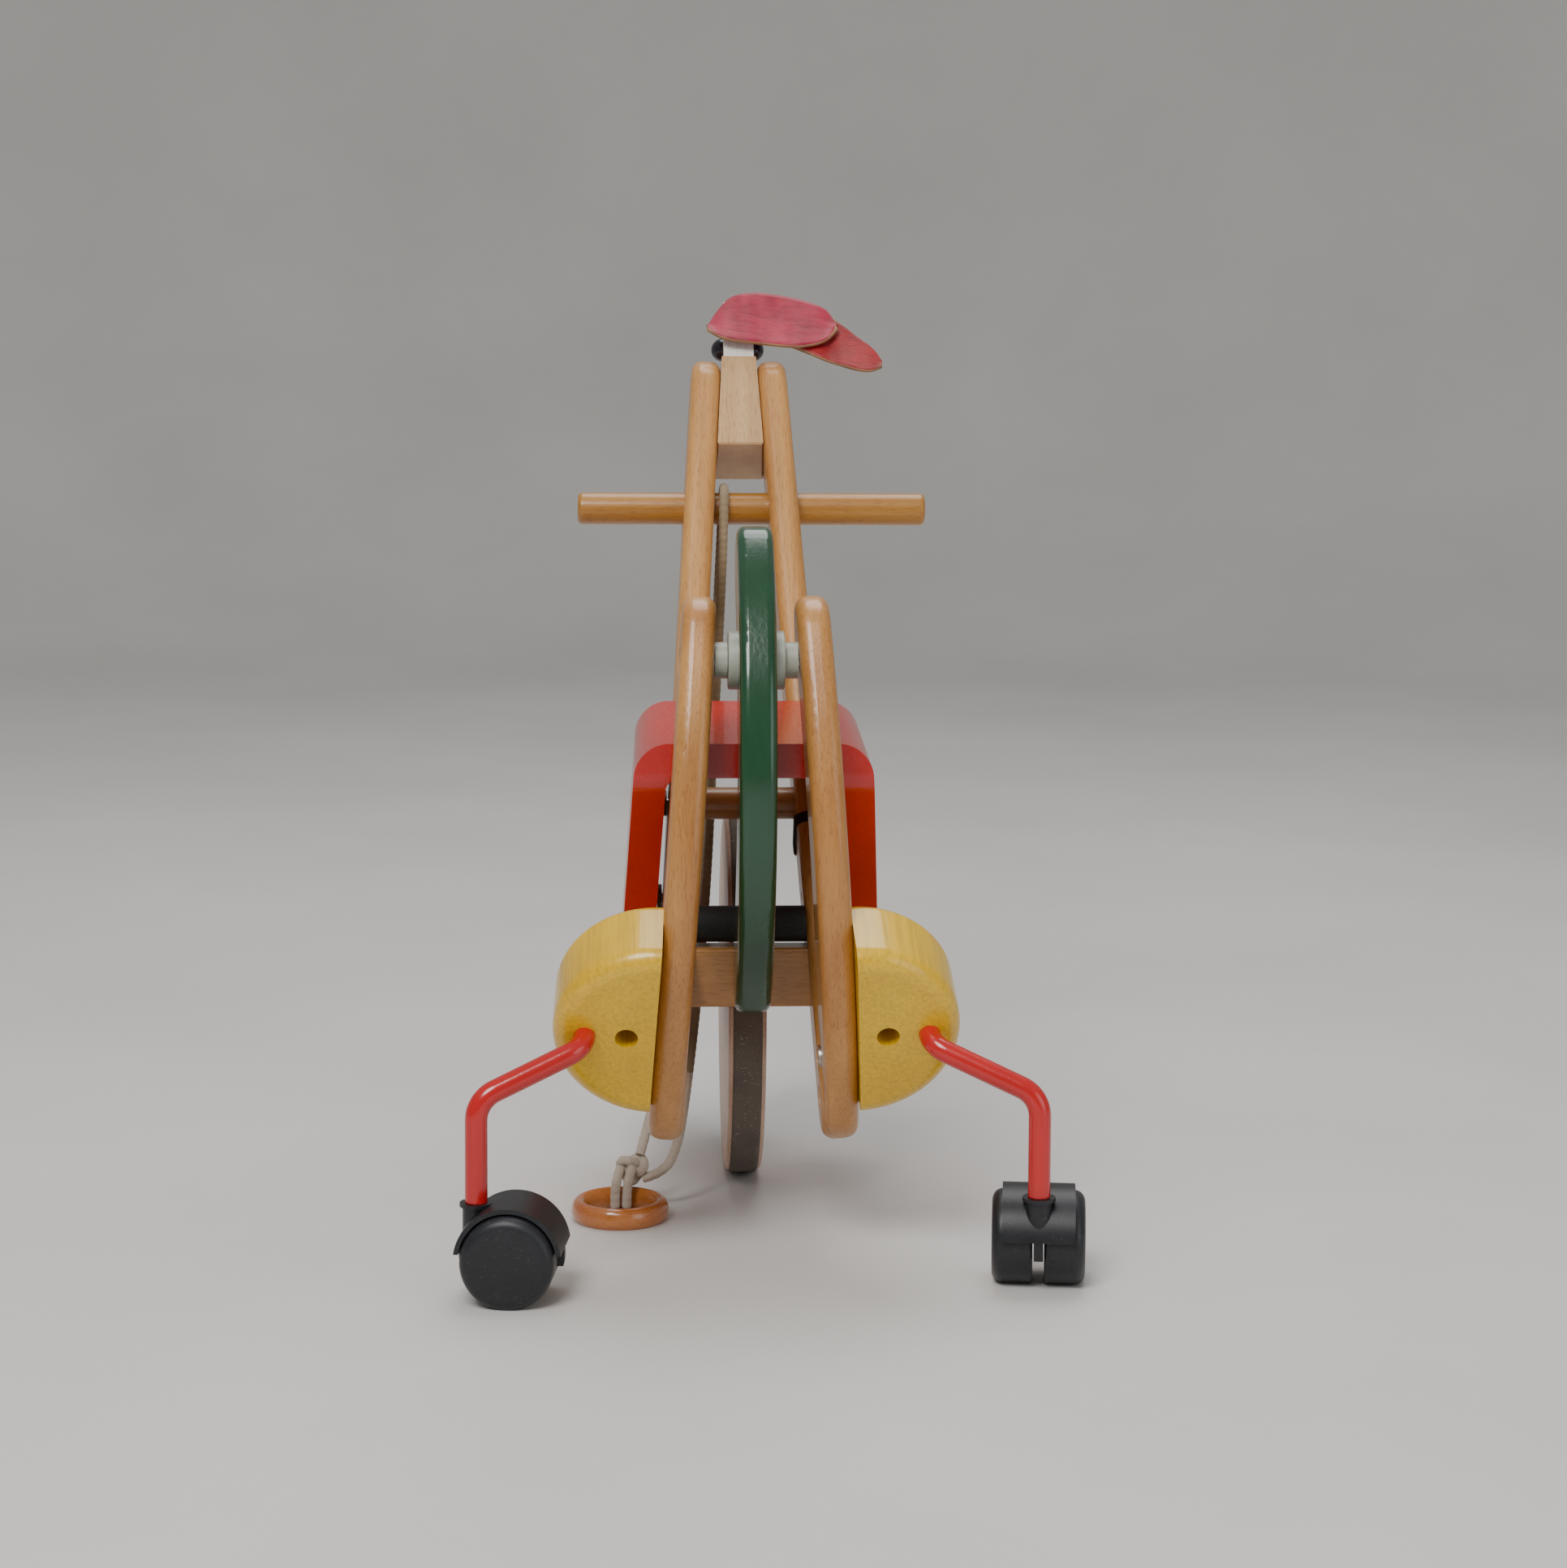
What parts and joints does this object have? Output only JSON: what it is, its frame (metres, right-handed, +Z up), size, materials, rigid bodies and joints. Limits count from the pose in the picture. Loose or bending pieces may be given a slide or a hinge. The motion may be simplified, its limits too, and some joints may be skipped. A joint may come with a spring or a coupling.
{
  "type": "toddler ride-on animal",
  "caption": "Wooden ride-on animal with splayed slat frames, a red seat, a large front wheel, castors on bent legs, a swinging tail lever and a pull rope.",
  "frame": {"origin": "middle of the footprint at floor level, without the pull rope and ring", "axes": "+Z up, +Y the riding direction, +X the rider's right"},
  "size_m": [0.3393, 0.4316, 0.5418],
  "materials": {
    "honey_beech": "satin clear varnish",
    "amber_beech": "satin amber varnish",
    "pale_beech": "satin clear varnish",
    "white_paint": "worn eggshell paint",
    "eye_gloss": "gloss",
    "crimson_leather": "smooth hide",
    "red_leather": "smooth hide",
    "red_lacquer": "gloss lacquer",
    "green_lacquer": "gloss lacquer",
    "yellow_stain": "satin stain that shows the grain",
    "red_enamel": "gloss",
    "black_plastic": "moulded",
    "black_rubber": "matt",
    "tread_rubber": "dusty matt",
    "wheel_wood": "satin clear varnish",
    "ring_wood": "gloss varnish",
    "cord": "braided",
    "grey_plastic": "satin",
    "steel": "zinc plated"
  },
  "bodies": {
    "frame": {"bumper_core": "steel", "bumper_sleeve": "black_rubber", "cross_block": "honey_beech", "ear_flap_lower": "red_leather", "ear_flap_upper": "crimson_leather", "ear_pin": "steel", "front_axle": "steel", "handlebar": "amber_beech", "head_block": "pale_beech", "head_crown": "white_paint", "lap_bolts": "steel", "left_axle_nut": "steel", "left_axle_spacer": "grey_plastic", "left_eye": "eye_gloss", "left_half_disc": "yellow_stain", "left_leg": "red_enamel", "left_neck_slat": "honey_beech", "left_rear_slat": "honey_beech", "left_seat_panel": "red_lacquer", "left_tail_spacer": "grey_plastic", "lower_dowel": "honey_beech", "neck_band": "black_rubber", "pull_ring": "ring_wood", "pull_rope_front": "cord", "pull_rope_rear": "cord", "right_axle_nut": "steel", "right_axle_spacer": "grey_plastic", "right_eye": "eye_gloss", "right_half_disc": "yellow_stain", "right_leg": "red_enamel", "right_neck_slat": "honey_beech", "right_rear_slat": "honey_beech", "right_seat_panel": "red_lacquer", "right_tail_spacer": "grey_plastic", "rope_knot": "cord", "seat_board": "red_lacquer", "seat_bolts": "steel", "seat_spacers": "grey_plastic", "tail_nuts": "steel", "tail_pivot_bolt": "steel"},
    "front_wheel": {"front_wheel": "wheel_wood", "front_tread": "tread_rubber", "front_wheel_bush": "grey_plastic"},
    "tail_lever": {"tail_lever": "green_lacquer", "tail_bush": "grey_plastic", "left_tail_flange": "grey_plastic", "right_tail_flange": "grey_plastic"},
    "left_castor": {"left_castor_body": "black_plastic", "left_castor_stem": "steel", "left_castor_pin": "steel"},
    "left_castor_wheel_a": {"left_castor_wheel_a": "black_plastic"},
    "left_castor_wheel_b": {"left_castor_wheel_b": "black_plastic"},
    "right_castor": {"right_castor_body": "black_plastic", "right_castor_stem": "steel", "right_castor_pin": "steel"},
    "right_castor_wheel_a": {"right_castor_wheel_a": "black_plastic"},
    "right_castor_wheel_b": {"right_castor_wheel_b": "black_plastic"}
  },
  "joints": [
    {"name": "front_wheel_spin", "type": "hinge", "parent": "frame", "child": "front_wheel", "pos_m": [-0.00945, 0.07412, 0.11], "axis": [1, 0, 0], "continuous": true},
    {"name": "tail_swing", "type": "hinge", "parent": "frame", "child": "tail_lever", "pos_m": [-0.00945, -0.11888, 0.332], "axis": [1, 0, 0], "range_deg": [-60, 0]},
    {"name": "left_castor_swivel", "type": "hinge", "parent": "frame", "child": "left_castor", "pos_m": [-0.15845, -0.18688, 0.045], "axis": [0, 0, 1], "continuous": true},
    {"name": "left_castor_wheel_a_spin", "type": "hinge", "parent": "left_castor", "child": "left_castor_wheel_a", "pos_m": [-0.13955, -0.18887, 0.025], "axis": [0.1045, 0.9945, 0], "continuous": true},
    {"name": "left_castor_wheel_b_spin", "type": "hinge", "parent": "left_castor", "child": "left_castor_wheel_b", "pos_m": [-0.13955, -0.18887, 0.025], "axis": [0.1045, 0.9945, 0], "continuous": true},
    {"name": "right_castor_swivel", "type": "hinge", "parent": "frame", "child": "right_castor", "pos_m": [0.13955, -0.18688, 0.045], "axis": [0, 0, 1], "continuous": true},
    {"name": "right_castor_wheel_a_spin", "type": "hinge", "parent": "right_castor", "child": "right_castor_wheel_a", "pos_m": [0.14219, -0.16807, 0.025], "axis": [-0.9903, 0.1392, 0], "continuous": true},
    {"name": "right_castor_wheel_b_spin", "type": "hinge", "parent": "right_castor", "child": "right_castor_wheel_b", "pos_m": [0.14219, -0.16807, 0.025], "axis": [-0.9903, 0.1392, 0], "continuous": true}
  ]
}
